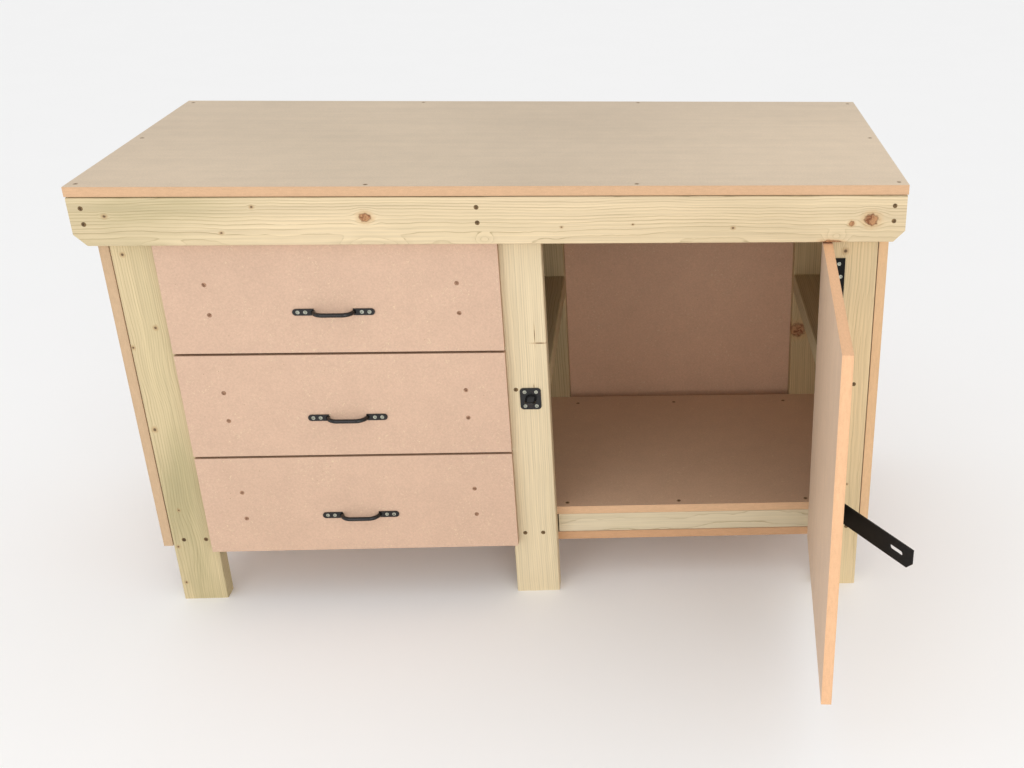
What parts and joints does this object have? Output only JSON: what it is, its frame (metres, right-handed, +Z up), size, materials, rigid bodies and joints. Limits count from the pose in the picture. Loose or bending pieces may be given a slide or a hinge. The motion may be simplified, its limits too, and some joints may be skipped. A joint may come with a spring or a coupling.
{
  "type": "workbench with drawers",
  "caption": "Timber-framed workbench with a flat board top, a stack of drawers with bow handles beside a cupboard with a hinged door, hasp and staple.",
  "frame": {"origin": "on the floor, at the middle of the bench's length and half way along its depth with the door open as at rest", "axes": "+X along the front to the right, +Y from the front to the back, +Z up"},
  "size_m": [1.5, 1.2438, 0.897],
  "materials": {
    "treated_pine": "planed, pressure treated, matte",
    "mdf": "bare board, matte",
    "black_steel": "black japanned, satin",
    "zinc_screw": "bright zinc",
    "wood_screw": "yellow passivated",
    "runner_steel": "galvanised"
  },
  "bodies": {
    "bench": {"back_panel": "mdf", "base_panel": "mdf", "bench_hardware_screws": "zinc_screw", "cabinet_runners": "runner_steel", "cupboard_rails": "treated_pine", "cupboard_shelf": "mdf", "drawer_cleats": "mdf", "front_apron": "treated_pine", "hasp_staple": "black_steel", "hinge_pins": "black_steel", "hinge_plates": "black_steel", "left_front_leg": "treated_pine", "left_lower_side_rail": "treated_pine", "left_middle_side_rail": "treated_pine", "left_rear_leg": "treated_pine", "left_side_apron": "treated_pine", "left_side_panel": "mdf", "middle_front_leg": "treated_pine", "middle_joist": "treated_pine", "middle_lower_side_rail": "treated_pine", "middle_middle_side_rail": "treated_pine", "middle_rear_leg": "treated_pine", "rear_apron": "treated_pine", "right_front_leg": "treated_pine", "right_lower_side_rail": "treated_pine", "right_middle_side_rail": "treated_pine", "right_rear_leg": "treated_pine", "right_side_apron": "treated_pine", "right_side_panel": "mdf", "wood_screws": "wood_screw", "worktop": "mdf"},
    "bottom_drawer": {"bottom_drawer_base": "mdf", "bottom_drawer_ends": "mdf", "bottom_drawer_front": "mdf", "bottom_drawer_handle": "black_steel", "bottom_drawer_runners": "runner_steel", "bottom_drawer_sides": "mdf", "bottom_front_screws": "wood_screw", "bottom_handle_screws": "zinc_screw"},
    "middle_drawer": {"middle_drawer_base": "mdf", "middle_drawer_ends": "mdf", "middle_drawer_front": "mdf", "middle_drawer_handle": "black_steel", "middle_drawer_runners": "runner_steel", "middle_drawer_sides": "mdf", "middle_front_screws": "wood_screw", "middle_handle_screws": "zinc_screw"},
    "top_drawer": {"top_drawer_base": "mdf", "top_drawer_ends": "mdf", "top_drawer_front": "mdf", "top_drawer_handle": "black_steel", "top_drawer_runners": "runner_steel", "top_drawer_sides": "mdf", "top_front_screws": "wood_screw", "top_handle_screws": "zinc_screw"},
    "door": {"door_panel": "mdf", "hinge_straps": "black_steel", "hasp_leaf": "black_steel", "door_hardware_screws": "zinc_screw"},
    "hasp": {"hasp_strap": "black_steel"}
  },
  "joints": [
    {"name": "bottom_drawer_slide", "type": "slide", "parent": "bench", "child": "bottom_drawer", "axis": [0, -1, 0], "range_m": [0, 0.4]},
    {"name": "middle_drawer_slide", "type": "slide", "parent": "bench", "child": "middle_drawer", "axis": [0, -1, 0], "range_m": [0, 0.4]},
    {"name": "top_drawer_slide", "type": "slide", "parent": "bench", "child": "top_drawer", "axis": [0, -1, 0], "range_m": [0, 0.4]},
    {"name": "door_swing", "type": "hinge", "parent": "bench", "child": "door", "pos_m": [0.6215, -0.02486, 0.456], "axis": [0, 0, 1], "range_deg": [-85.7, 89.3]},
    {"name": "hasp_swing", "type": "hinge", "parent": "door", "child": "hasp", "pos_m": [0.58828, -0.46661, 0.455], "axis": [0, 0, 1], "range_deg": [-35.3, 139.7]}
  ]
}
